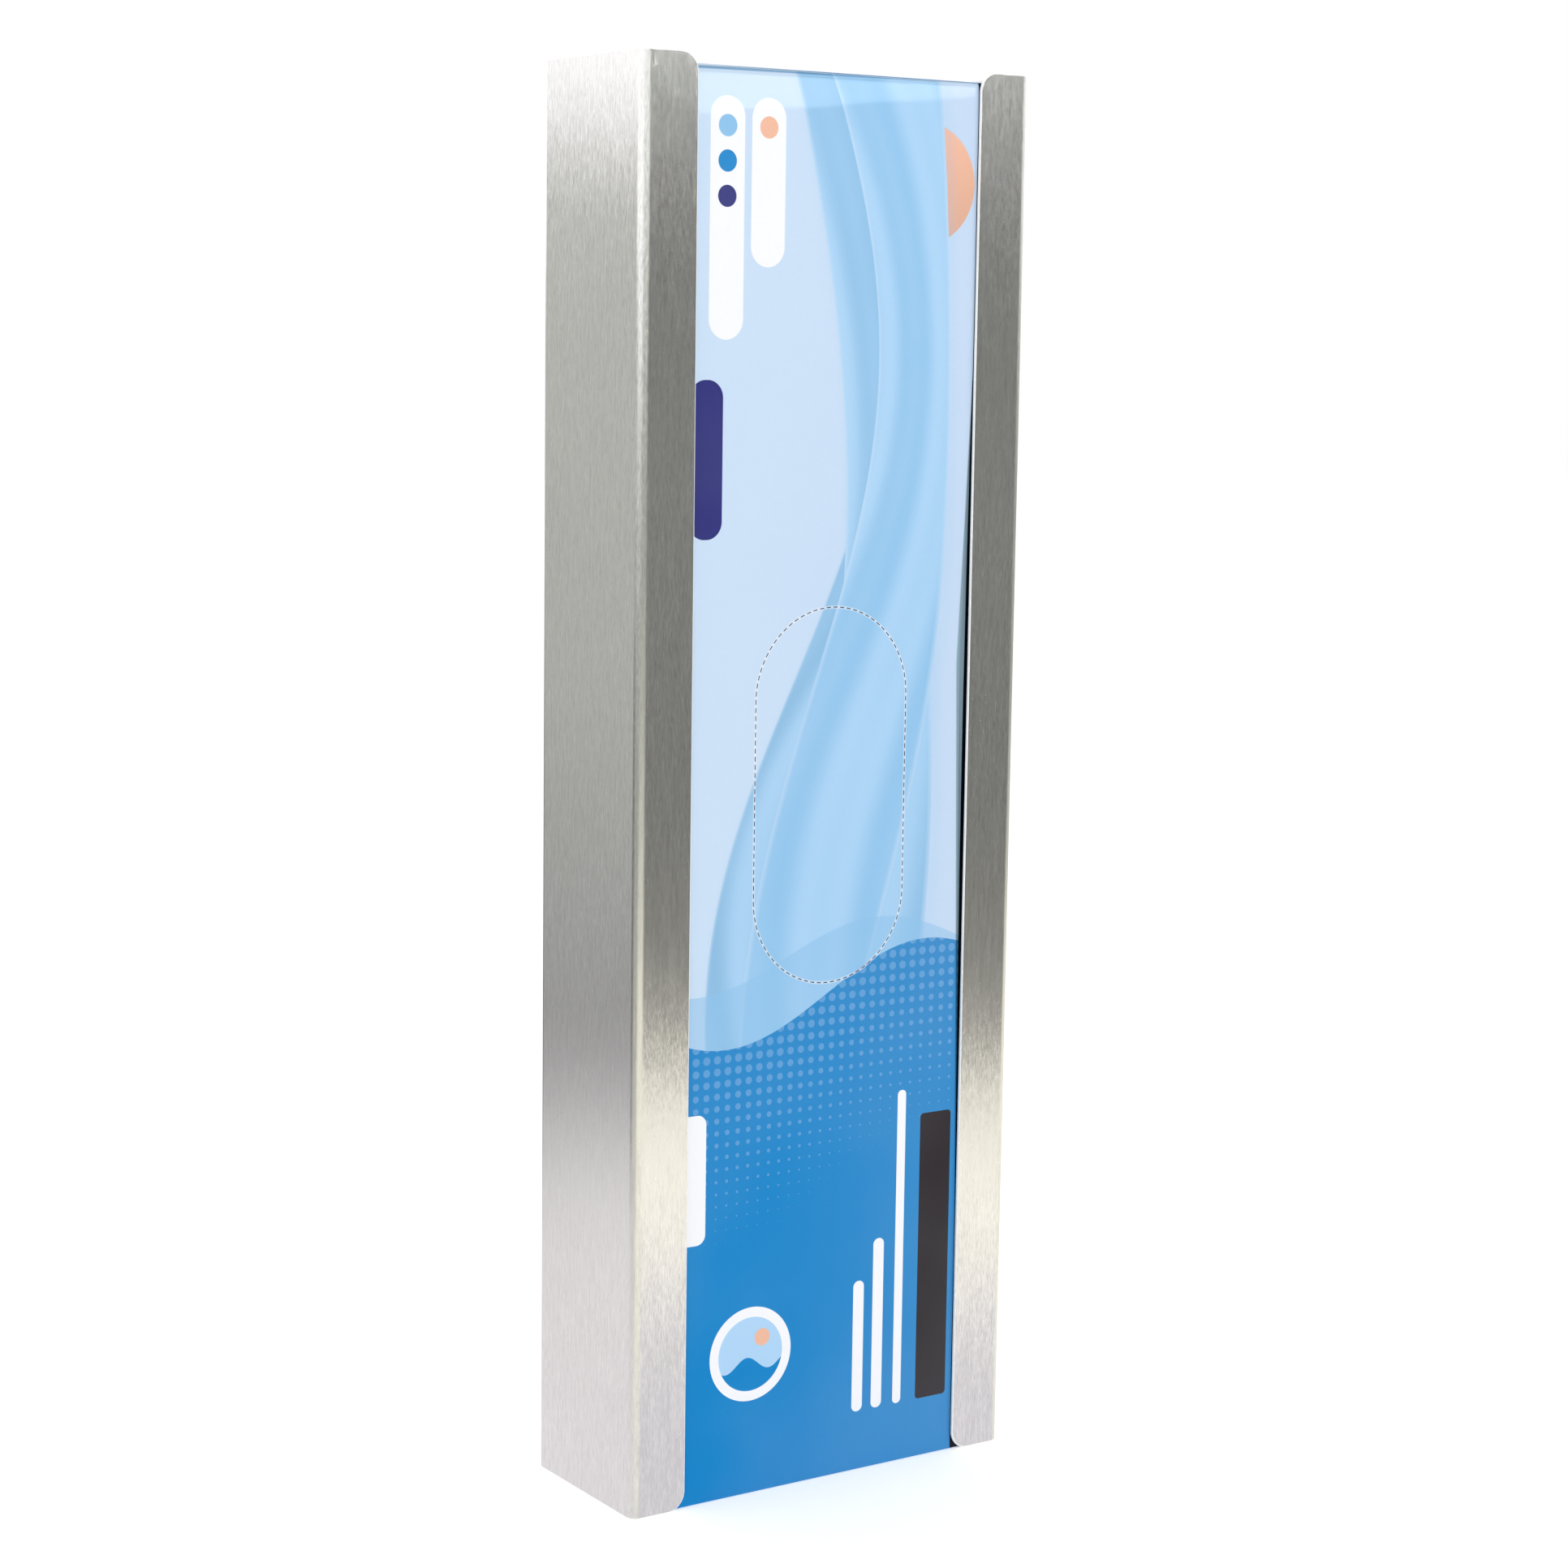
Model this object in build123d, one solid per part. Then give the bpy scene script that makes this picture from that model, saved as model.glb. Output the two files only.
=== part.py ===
from build123d import *
import os

os.makedirs("parts", exist_ok=True)

# A glove dispenser: an upright channel, folded from one steel sheet, that holds one sealed carton.
# Millimetres. The origin is the centre of the footprint, +X is right, +Y is back, +Z is up.

# Channel: a back, two sides and two narrow front lips, open at both ends
height = 410.0
width = 131.2
depth = 54.4
sheet = 1.0
bend_inside = 2.0
lip_width = 17.8
lip_corner = 5.5
edge_softening = 0.3

# Screw holes through the channel's back, one near each corner
hole_diameter = 5.2
holes_across = 80.0
holes_up = 320.0

# Room round the carton inside the channel: the back keeps room for flat screw heads
side_clearance = 0.8
front_clearance = 0.3
back_clearance = 2.1
top_setback = 2.8

# Carton: printed board, folded and glued shut
board = 0.5
long_fold = 1.1
flap_side_step = 1.2
flap_back_step = 1.5

# Tear-out oval: a ring of short slits in the carton's front
oval_width = 52.0
oval_height = 108.8
slit_length = 1.4
slit_gap = 0.9
slit_width = 0.3
slit_depth = 0.4

# Dip: beside the right lip the front panel is pressed in, deepest half way up the dip
dip_showing = 1.8
dip_depth = 1.4
dip_slope = 2.8
dip_low = 40.0
dip_high = 340.0

# What follows from the sizes above, and how near two places are when they count as one
bend_outside = bend_inside + sheet
lip_edge = width / 2 - lip_width
inside_width = width - 2 * sheet
inside_depth = depth - 2 * sheet
carton_width = inside_width - 2 * side_clearance
carton_front = -depth / 2 + sheet + front_clearance
carton_back = depth / 2 - sheet - back_clearance
carton_depth = carton_back - carton_front
carton_height = height - top_setback
carton_middle = (carton_front + carton_back) / 2
near = sheet / 10


def channel_section():
    """The folded sheet seen from above: a rounded tube with its front cut open between the lips."""
    outside = RectangleRounded(width, depth, bend_outside)
    inside = RectangleRounded(inside_width, inside_depth, bend_inside)
    mouth = Pos(0, -depth / 2) * Rectangle(2 * lip_edge, 2 * bend_outside)
    return outside - inside - mouth


def is_lip_end(edge):
    """A short edge through the sheet at a free corner of a lip."""
    middle = edge.center()
    return abs(abs(middle.X) - lip_edge) < near and edge.length < 2 * sheet


def is_cut_edge(edge):
    """An edge along a cut side of the sheet: its two ends, the lips' free edges and their corners."""
    middle = edge.center()
    on_end = abs(abs(middle.Z - height / 2) - height / 2) < near and edge.length > 1.5 * sheet
    on_lip = abs(abs(middle.X) - lip_edge) < near and edge.length > 2 * sheet
    on_corner = edge.geom_type == GeomType.CIRCLE and abs(edge.radius - lip_corner) < near
    return on_end or on_lip or on_corner


def make_channel():
    channel = extrude(channel_section(), amount=height)
    channel = fillet(channel.edges().filter_by(is_lip_end), lip_corner)
    channel = fillet(channel.edges().filter_by(is_cut_edge), edge_softening)
    back_plane = Plane(origin=(0, depth / 2, height / 2), x_dir=(1, 0, 0), z_dir=(0, 1, 0))
    holes = [place * Circle(hole_diameter / 2) for place in GridLocations(holes_across, holes_up, 2, 2)]
    return channel - extrude(back_plane * (Sketch() + holes), amount=-2 * sheet)


def slit_ring():
    """The dashes of the tear-out oval, evenly spaced along its outline."""
    oval = SlotOverall(oval_height, oval_width, rotation=90).wire()
    count = round(oval.length / (slit_length + slit_gap))
    slits = []
    for index in range(count):
        spot = oval.position_at(index / count)
        turn = oval.tangent_angle_at(index / count)
        slits.append(Pos(spot.X, spot.Y) * Rot(0, 0, turn) * Rectangle(slit_length, slit_width))
    return Sketch() + slits


def dip():
    """A long shallow hollow: an arc seen from the side, with sloping banks seen from above."""
    start = lip_edge - dip_showing
    end = carton_width / 2 - 2 * long_fold
    middle = (dip_low + dip_high) / 2
    outer = carton_front - dip_depth

    arc = ThreePointArc((carton_front, dip_low), (carton_front + dip_depth, middle), (carton_front, dip_high))
    rim = Polyline((carton_front, dip_high), (outer, dip_high), (outer, dip_low), (carton_front, dip_low))
    side_shape = Plane.YZ.offset(start) * make_face([arc, rim])

    floor = carton_front + 2 * dip_depth
    banks = Polyline(
        (start, outer),
        (start, carton_front),
        (start + 2 * dip_slope, floor),
        (end - 2 * dip_slope, floor),
        (end, carton_front),
        (end, outer),
        close=True,
    )
    return extrude(side_shape, amount=end - start) & extrude(make_face(banks), amount=height)


def make_carton():
    walls = Pos(0, carton_middle, board) * RectangleRounded(carton_width, carton_depth, long_fold)
    carton = extrude(walls, amount=carton_height - 2 * board)

    # The outer closing flaps fold over from the front at both ends and stop short of the other sides
    reach = carton_depth - flap_back_step
    flap_side = Pos(carton_front + reach / 2, carton_height / 2) * Rectangle(reach, carton_height)
    flap_side = fillet(flap_side.vertices().group_by(Axis.X)[0], board)
    flaps = extrude(Plane.YZ * flap_side, amount=carton_width / 2 - flap_side_step, both=True)

    front_plane = Plane(origin=(0, carton_front, carton_height / 2), x_dir=(1, 0, 0), z_dir=(0, -1, 0))
    slits = extrude(front_plane * slit_ring(), amount=-slit_depth)
    return carton + flaps - slits - dip()


export_step(make_channel(), "parts/steel_channel.step")
export_step(make_carton(), "parts/glove_carton.step")
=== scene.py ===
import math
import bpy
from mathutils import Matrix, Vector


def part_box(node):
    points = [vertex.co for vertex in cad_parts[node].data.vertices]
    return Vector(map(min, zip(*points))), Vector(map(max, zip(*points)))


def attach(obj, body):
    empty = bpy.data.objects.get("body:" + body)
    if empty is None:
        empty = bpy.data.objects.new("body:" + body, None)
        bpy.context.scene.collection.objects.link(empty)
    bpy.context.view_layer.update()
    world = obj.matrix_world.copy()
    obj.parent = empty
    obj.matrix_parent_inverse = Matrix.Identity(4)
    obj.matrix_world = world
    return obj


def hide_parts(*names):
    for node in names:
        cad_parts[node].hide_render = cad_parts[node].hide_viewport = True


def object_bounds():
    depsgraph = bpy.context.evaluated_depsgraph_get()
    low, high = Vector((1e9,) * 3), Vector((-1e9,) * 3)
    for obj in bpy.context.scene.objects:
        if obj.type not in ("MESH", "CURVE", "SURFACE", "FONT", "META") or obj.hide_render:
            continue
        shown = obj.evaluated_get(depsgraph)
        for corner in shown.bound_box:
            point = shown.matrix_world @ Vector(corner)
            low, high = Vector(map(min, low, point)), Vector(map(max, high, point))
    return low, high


bl_info = {
    "name": "Glove Dispenser",
    "version": (1, 0, 0),
    "blender": (4, 5, 0),
    "location": "3D View > Sidebar > Dispenser",
    "description": "Builds a folded steel glove dispenser, its printed carton and a plain studio",
    "category": "Add Mesh",
}

import bmesh
import bpy
from bpy.props import FloatProperty, FloatVectorProperty, IntProperty, PointerProperty
from mathutils import Matrix, Vector

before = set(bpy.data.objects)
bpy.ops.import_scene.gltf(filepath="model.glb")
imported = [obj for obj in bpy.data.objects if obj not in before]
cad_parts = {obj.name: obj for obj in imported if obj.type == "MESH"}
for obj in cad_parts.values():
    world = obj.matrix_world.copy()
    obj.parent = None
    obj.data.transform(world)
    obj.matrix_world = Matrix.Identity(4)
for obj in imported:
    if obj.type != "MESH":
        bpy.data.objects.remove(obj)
CAD_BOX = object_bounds()
CHANNEL_LOW, CHANNEL_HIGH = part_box("steel_channel")
CARTON_LOW, CARTON_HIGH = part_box("glove_carton")
CARTON_MIDDLE = (CARTON_LOW + CARTON_HIGH) / 2

MM = 0.001
NEAR = 0.00002


# Settings

def length(name, description, metres):
    """A size in metres that the sidebar shows as a length."""
    return FloatProperty(name=name, description=description, default=metres, min=0.0, precision=5,
                         subtype="DISTANCE", unit="LENGTH")


def count(name, description, default):
    return IntProperty(name=name, description=description, default=default, min=1, max=64)


def share(name, description, default):
    return FloatProperty(name=name, description=description, default=default, min=0.0, max=1.0,
                         subtype="FACTOR")


def angle(name, description, degrees):
    return FloatProperty(name=name, description=description, default=math.radians(degrees),
                         subtype="ANGLE", unit="ROTATION")


def power(name, description, watts):
    return FloatProperty(name=name, description=description, default=watts, min=0.0, unit="POWER")


def tone(value):
    """One screen value from 0 to 255 as the linear value that a shader takes."""
    value = value / 255
    return value / 12.92 if value <= 0.04045 else ((value + 0.055) / 1.055) ** 2.4


def colour(name, description, red, green, blue):
    """A colour from three screen values."""
    return FloatVectorProperty(name=name, description=description, size=3, min=0.0, max=1.0,
                               default=(tone(red), tone(green), tone(blue)), subtype="COLOR")


class ChannelSettings(bpy.types.PropertyGroup):
    width: length("Width", "Outside width of the folded sheet", CHANNEL_HIGH.x - CHANNEL_LOW.x)
    depth: length("Depth", "Outside depth of the folded sheet", CHANNEL_HIGH.y - CHANNEL_LOW.y)
    height: length("Height", "Height of the folded sheet", CHANNEL_HIGH.z - CHANNEL_LOW.z)
    sheet: length("Sheet", "Thickness of the sheet", 1.0 * MM)
    bend: length("Bend", "Outside radius of the four upright bends", 3.0 * MM)
    lip_width: length("Lip Width", "Width of each front lip", 17.8 * MM)
    lip_corner: length("Lip Corner", "Radius of the lips' free corners", 5.5 * MM)
    softening: length("Softening", "Rounding of the cut edges", 0.3 * MM)
    bend_steps: count("Bend Steps", "Faces across each bend", 10)
    hole: length("Hole", "Diameter of the screw holes in the back", 5.2 * MM)
    holes_across: length("Holes Across", "Spacing of the screw holes from side to side", 80.0 * MM)
    holes_up: length("Holes Up", "Spacing of the screw holes up the back", 320.0 * MM)
    steel: colour("Steel", "Colour of the bare steel", 212, 211, 209)
    cut_steel: colour("Cut Steel", "Colour of the bright cut edges", 251, 251, 249)
    roughness: share("Roughness", "How far the brushed face spreads a reflection", 0.165)
    grain: share("Grain", "How strongly the brush lines show", 0.5)


class CartonSettings(bpy.types.PropertyGroup):
    board: length("Board", "Thickness of the carton board", 0.5 * MM)
    fold: length("Fold", "Outside radius of the upright folds", 1.1 * MM)
    flap_side: length("Flap Side Step", "How far the closing flap stops short of the sides", 1.2 * MM)
    flap_back: length("Flap Back Step", "How far the closing flap stops short of the back", 1.5 * MM)
    oval_width: length("Oval Width", "Width of the tear-out oval", 52.0 * MM)
    oval_height: length("Oval Height", "Height of the tear-out oval", 108.8 * MM)
    slit: length("Slit", "Length of one slit", 1.4 * MM)
    slit_gap: length("Slit Gap", "Board left between two slits", 0.9 * MM)
    slit_width: length("Slit Width", "Width of one slit", 0.3 * MM)
    slit_depth: length("Slit Depth", "Depth of one slit", 0.4 * MM)
    crease: length("Crease", "How far across the pressed-in strip beside the right lip starts", 43.9 * MM)
    crease_height: length("Crease Height", "Height at which the pressed-in strip is widest", 240.0 * MM)
    dip: length("Dip", "How far the strip beside the right lip is pressed in", 1.4 * MM)
    dip_low: length("Dip Low", "Lower end of the pressed-in strip", 40.0 * MM)
    dip_high: length("Dip High", "Upper end of the pressed-in strip", 340.0 * MM)
    lean: length("Lean", "How far below the top edge the front starts to lean back", 8.7 * MM)
    brow: length("Brow", "How far below the top edge the front turns towards the fold", 1.7 * MM)
    ground: colour("Ground", "Pale ground of the print", 201, 222, 243)
    ribbon: colour("Ribbon", "Light side of the printed ribbons", 176, 213, 244)
    ribbon_fold: colour("Ribbon Fold", "Folds of the printed ribbons", 140, 192, 231)
    field: colour("Field", "Strong blue of the lower field", 6, 132, 199)
    white: colour("White", "White of the print", 246, 247, 250)
    navy: colour("Navy", "Darkest blue of the print", 38, 40, 116)
    dark: colour("Dark", "Near black of the print", 44, 38, 42)
    accent: colour("Accent", "Warm accent of the print", 240, 186, 158)
    edge: colour("Board Edge", "Bare board where it is cut", 214, 210, 202)
    # Painted shade: a dark blue-grey for the board inside the narrow slits, where it lies in shade
    slit_shade: colour("Slit Edge", "Board inside the narrow slits", 100, 128, 158)
    roughness: share("Roughness", "Roughness of the print under its gloss", 0.35)


class StageSettings(bpy.types.PropertyGroup):
    camera: FloatVectorProperty(name="Camera", description="Place of the camera", size=3,
                                default=(-0.517561, -0.774128, 0.331807), precision=5,
                                subtype="TRANSLATION", unit="LENGTH")
    turn: angle("Turn", "How far the camera looks to the right of straight ahead", 33.83)
    tilt: angle("Tilt", "How far the camera looks down", 7.816)
    roll: angle("Roll", "How far the camera leans", 0.811)
    lens: FloatProperty(name="Lens", description="Focal length on a 36 mm wide sensor", default=73.43,
                        min=1.0, unit="CAMERA")
    floor: colour("Floor", "Colour of the floor", 244, 244, 244)
    floor_size: length("Floor Size", "Width of the square floor", 12.0)
    floor_glow: share("Floor Glow", "Light that the floor gives off itself, to stay white", 0.36)
    glow: share("Glow", "Strength of the even light all round", 0.75)
    key: power("Key", "Power of the large light at the right", 6.0)
    fill: power("Fill", "Power of the large light at the left", 4.0)


# Meshes

def slice_mesh(bm, axis, places, chosen):
    """Cuts new edges into the chosen faces, where a coordinate has each of the given values."""
    normal = Vector((0, 0, 0))
    normal[axis] = 1
    for place in places:
        faces = [face for face in bm.faces if chosen(face.calc_center_median())]
        edges = {edge for face in faces for edge in face.edges}
        verts = {vert for face in faces for vert in face.verts}
        bmesh.ops.bisect_plane(bm, geom=faces + list(edges) + list(verts), dist=NEAR,
                               plane_co=normal * place, plane_no=normal)


def new_object(name, bm, *materials):
    """Puts a finished bmesh into a smooth-shaded object at the origin."""
    mesh = bpy.data.meshes.new(name)
    bm.to_mesh(mesh)
    bm.free()
    for material in materials:
        mesh.materials.append(material)
    mesh.shade_smooth()
    piece = bpy.data.objects.new(name, mesh)
    bpy.context.scene.collection.objects.link(piece)
    return piece


def round_off(bm, parts, radius, steps, affect="EDGES"):
    """Rounds edges, or the corners of an open sheet."""
    bmesh.ops.bevel(bm, geom=parts, offset=radius, offset_type="OFFSET", affect=affect, segments=steps,
                    profile=0.5, material=-1)


def settle(piece):
    """Makes the result of the piece's modifiers its own mesh."""
    depsgraph = bpy.context.evaluated_depsgraph_get()
    shaped = piece.evaluated_get(depsgraph)
    mesh = bpy.data.meshes.new_from_object(shaped, preserve_all_data_layers=True, depsgraph=depsgraph)
    old = piece.data
    piece.modifiers.clear()
    piece.data = mesh
    bpy.data.meshes.remove(old)
    mesh.name = piece.name


def cut(piece, bm, *materials):
    """Takes the bmesh's solids out of the piece."""
    cutter = new_object(piece.name + "_cutter", bm, *materials)
    boolean = piece.modifiers.new("cut", "BOOLEAN")
    boolean.operation = "DIFFERENCE"
    boolean.solver = "EXACT"
    boolean.material_mode = "TRANSFER"
    boolean.object = cutter
    settle(piece)
    bpy.data.objects.remove(cutter)


def finish_normals(piece, degrees):
    """Keeps edges sharper than the angle hard, and lets the large faces set the shading beside them."""
    piece.data.set_sharp_from_angle(angle=math.radians(degrees))
    weighted = piece.modifiers.new("normals", "WEIGHTED_NORMAL")
    weighted.keep_sharp = True
    weighted.weight = 100
    settle(piece)


def make_channel(settings, steel, cut_steel):
    """The folded sheet: a back, two sides and two lips, with rounded lip corners and four screw holes."""
    side = settings.width / 2
    front = -settings.depth / 2
    back = settings.depth / 2
    lip = side - settings.lip_width
    corners = ((-lip, front), (-side, front), (-side, back), (side, back), (side, front), (lip, front))

    bm = bmesh.new()
    verts = [bm.verts.new((x, y, 0)) for x, y in corners]
    line = [bm.edges.new(pair) for pair in zip(verts, verts[1:])]
    walls = bmesh.ops.extrude_edge_only(bm, edges=line)["geom"]
    raised = [part for part in walls if isinstance(part, bmesh.types.BMVert)]
    bmesh.ops.translate(bm, verts=raised, vec=(0, 0, settings.height))

    bends = [edge for edge in bm.edges if not edge.is_boundary]
    round_off(bm, bends, settings.bend, settings.bend_steps)
    free = [vert for vert in bm.verts if abs(abs(vert.co.x) - lip) < NEAR]
    round_off(bm, free, settings.lip_corner, 12, "VERTICES")
    bmesh.ops.recalc_face_normals(bm, faces=bm.faces)
    lip_face = min(bm.faces, key=lambda face: face.calc_center_median().y)
    if lip_face.normal.y > 0:
        bmesh.ops.reverse_faces(bm, faces=bm.faces)

    piece = new_object("channel_sheet", bm, steel, cut_steel)
    solidify = piece.modifiers.new("thickness", "SOLIDIFY")
    solidify.thickness = settings.sheet
    solidify.offset = -1
    solidify.use_even_offset = True
    solidify.material_offset_rim = 1
    settle(piece)

    bm = bmesh.new()
    for across in (-0.5, 0.5):
        for up in (-0.5, 0.5):
            level = settings.height / 2 + up * settings.holes_up
            place = Vector((across * settings.holes_across, back, level))
            bmesh.ops.create_cone(bm, cap_ends=True, segments=40, radius1=settings.hole / 2,
                                  radius2=settings.hole / 2, depth=4 * settings.sheet,
                                  matrix=Matrix.Translation(place) @ Matrix.Rotation(math.pi / 2, 4, "X"))
    cut(piece, bm, cut_steel)

    bevel = piece.modifiers.new("softening", "BEVEL")
    bevel.width = settings.softening
    bevel.segments = 3
    bevel.material = 1
    bevel.limit_method = "ANGLE"
    bevel.angle_limit = math.radians(50)
    settle(piece)
    finish_normals(piece, 60)
    return piece


def oval_walk(width, height, step):
    """Places along an upright oval with straight sides, each with the way that the outline runs there."""
    radius = width / 2
    straight = height - width
    around = 2 * straight + 2 * math.pi * radius
    number = round(around / step)
    for index in range(number):
        way = index * around / number
        turned, way = divmod(way, around / 2)
        if way < straight:
            place = Vector((radius, way - straight / 2))
            run = math.pi / 2
        else:
            bend = (way - straight) / radius
            place = Vector((radius * math.cos(bend), straight / 2 + radius * math.sin(bend)))
            run = math.pi / 2 + bend
        yield (place if turned < 0.5 else -place), run


# How far the crease runs sideways with height, above and below its widest place, and how steep its bank is
CREASE_RUN_ABOVE = 0.046
CREASE_RUN_BELOW = 0.024
CREASE_RUN_MOST = 4.6 * MM
BANK_SLOPE = 0.5

# How much the top of the front leans back, and how much more its last millimetres do
LEAN_SLOPE = 0.084
BROW_SLOPE = 0.28


def crease_line(settings, z):
    """How far across the crease is: it comes out from behind the right lip, to a point, and goes back."""
    above = max(0.0, z - settings.crease_height)
    below = max(0.0, settings.crease_height - z)
    run = CREASE_RUN_ABOVE * above + CREASE_RUN_BELOW * below
    return settings.crease + min(CREASE_RUN_MOST, run)


def pressed_in(settings, x, z):
    """How far the carton's front stands back from flat at a place."""
    middle = (settings.dip_low + settings.dip_high) / 2
    arc = settings.dip * (1 - ((z - middle) / (settings.dip_high - middle)) ** 2)
    outer = CARTON_HIGH.x - 2 * settings.fold
    bank = min(x - crease_line(settings, z), outer - x) * BANK_SLOPE
    dip = max(0.0, min(arc, bank))

    # The lean starts lower down at the left, along a line with a slight ripple
    ripple = 0.6 * MM * math.sin(x / (6 * MM))
    lean = max(0.0, z - (CARTON_HIGH.z - settings.lean + 0.1 * x + ripple)) * LEAN_SLOPE
    brow = max(0.0, z - (CARTON_HIGH.z - settings.brow + 0.01 * x)) * BROW_SLOPE
    return dip + lean + brow


def carton_body(settings):
    """A box with rounded upright folds, one board shorter at each end than the carton."""
    span = CARTON_HIGH - CARTON_LOW
    scale = Matrix.Diagonal((span.x, span.y, span.z - 2 * settings.board, 1))
    bm = bmesh.new()
    bmesh.ops.create_cube(bm, size=1, matrix=Matrix.Translation(CARTON_MIDDLE) @ scale)
    upright = [edge for edge in bm.edges if abs(edge.verts[0].co.z - edge.verts[1].co.z) > NEAR]
    round_off(bm, upright, settings.fold, 8)
    return bm


def raise_flaps(settings, bm):
    """The closing flaps: a region of each end face, raised by one board."""
    end = (CARTON_HIGH.z - CARTON_LOW.z) / 2 - settings.board
    side = CARTON_HIGH.x - settings.flap_side
    rear = CARTON_HIGH.y - settings.flap_back

    def on_end(spot):
        return abs(abs(spot.z - CARTON_MIDDLE.z) - end) < NEAR

    slice_mesh(bm, 0, (-side, side), on_end)
    slice_mesh(bm, 1, (rear,), on_end)
    for way in (-1, 1):
        flap = []
        for face in bm.faces:
            spot = face.calc_center_median()
            this_end = on_end(spot) and (spot.z - CARTON_MIDDLE.z) * way > 0
            if this_end and abs(spot.x) < side and spot.y < rear:
                flap.append(face)
        region = bmesh.ops.extrude_face_region(bm, geom=flap)["geom"]
        verts = [part for part in region if isinstance(part, bmesh.types.BMVert)]
        bmesh.ops.translate(bm, verts=verts, vec=(0, 0, way * settings.board))
        bmesh.ops.delete(bm, geom=flap, context="FACES")
    bmesh.ops.recalc_face_normals(bm, faces=bm.faces)


def join_front(settings, bm):
    """Makes the front one panel that runs over both rounded end folds."""
    half = (CARTON_HIGH.z - CARTON_LOW.z) / 2
    seams = []
    brows = []
    for edge in bm.edges:
        first, second = edge.verts[0].co, edge.verts[1].co
        spot = (first + second) / 2
        level = abs(first.z - second.z) < NEAR
        long = abs(first.x - second.x) > CARTON_HIGH.x - settings.flap_side
        if level and long and abs(spot.y - CARTON_LOW.y) < NEAR:
            if abs(abs(spot.z - CARTON_MIDDLE.z) - half) < NEAR:
                brows.append(edge)
            elif len(edge.link_faces) == 2 and edge.calc_face_angle(1.0) < 0.01:
                seams.append(edge)
    bmesh.ops.dissolve_edges(bm, edges=seams, use_verts=False)
    round_off(bm, brows, settings.board, 6)


def press_front(settings, bm):
    """Cuts rows and columns into the front, and moves them: the pressed-in strip and the top that leans."""
    skin = CARTON_LOW.y + settings.fold * 0.9
    band = 392 * MM

    def on_front(spot):
        return spot.y < skin

    def on_strip(spot):
        return spot.y < skin and spot.x > settings.crease - 2 * MM

    def on_top(spot):
        return spot.y < skin and spot.z > band

    across = (-1.5, 0, 0.8, 1.6, 2.8, 4.0, 5.5, 8, 11, 13, 15, 16.5, 17.2)
    slice_mesh(bm, 0, [settings.crease + step * MM for step in across], on_front)
    pitch = (settings.dip_high - settings.dip_low) / 48
    slice_mesh(bm, 2, [settings.dip_low + step * pitch for step in range(49)], on_strip)
    slice_mesh(bm, 2, (band,), on_front)
    slice_mesh(bm, 0, [(6 * step - 60) * MM for step in range(18)], on_top)
    up = (394, 395.5, 397, 398, 399, 400, 401, 402, 403, 404, 404.8, 405.4, 406)
    slice_mesh(bm, 2, [height * MM for height in up], on_top)

    # The columns near the crease follow it, and the ones further away less so
    for vert in bm.verts:
        if on_front(vert.co):
            reach = max(0.0, 1 - abs(vert.co.x - settings.crease) / (15 * MM))
            vert.co.x += (crease_line(settings, vert.co.z) - settings.crease) * reach
            vert.co.y += pressed_in(settings, vert.co.x, vert.co.z)


def choose_inks(settings, bm):
    """Gives each face its material: print all round, another on the flaps, bare board where it is cut."""
    end = (CARTON_HIGH.z - CARTON_LOW.z) / 2 - settings.board
    for face in bm.faces:
        spot = face.calc_center_median()
        past_end = abs(spot.z - CARTON_MIDDLE.z) > end - NEAR
        if past_end and abs(face.normal.z) > 0.9:
            face.material_index = 1
        elif past_end and spot.y > CARTON_LOW.y + settings.board and abs(face.normal.z) < 0.3:
            face.material_index = 2


def slit_cutters(settings):
    """One small box for each slit of the tear-out oval."""
    bm = bmesh.new()
    size = Matrix.Diagonal((settings.slit, 2 * settings.slit_depth, settings.slit_width, 1))
    ring = oval_walk(settings.oval_width, settings.oval_height, settings.slit + settings.slit_gap)
    for place, run in ring:
        spot = Matrix.Translation((place.x, CARTON_LOW.y, CARTON_MIDDLE.z + place.y))
        bmesh.ops.create_cube(bm, size=1, matrix=spot @ Matrix.Rotation(-run, 4, "Y") @ size)
    return bm


def make_carton(settings, print_front, print_end, board, shaded_slit_board):
    """The sealed carton: folded walls, closing flaps, a pressed-in strip and a ring of slits."""
    bm = carton_body(settings)
    raise_flaps(settings, bm)
    join_front(settings, bm)
    press_front(settings, bm)
    choose_inks(settings, bm)
    piece = new_object("carton", bm, print_front, print_end, board)
    cut(piece, slit_cutters(settings), shaded_slit_board)
    finish_normals(piece, 18)
    return piece


# Materials

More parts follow.
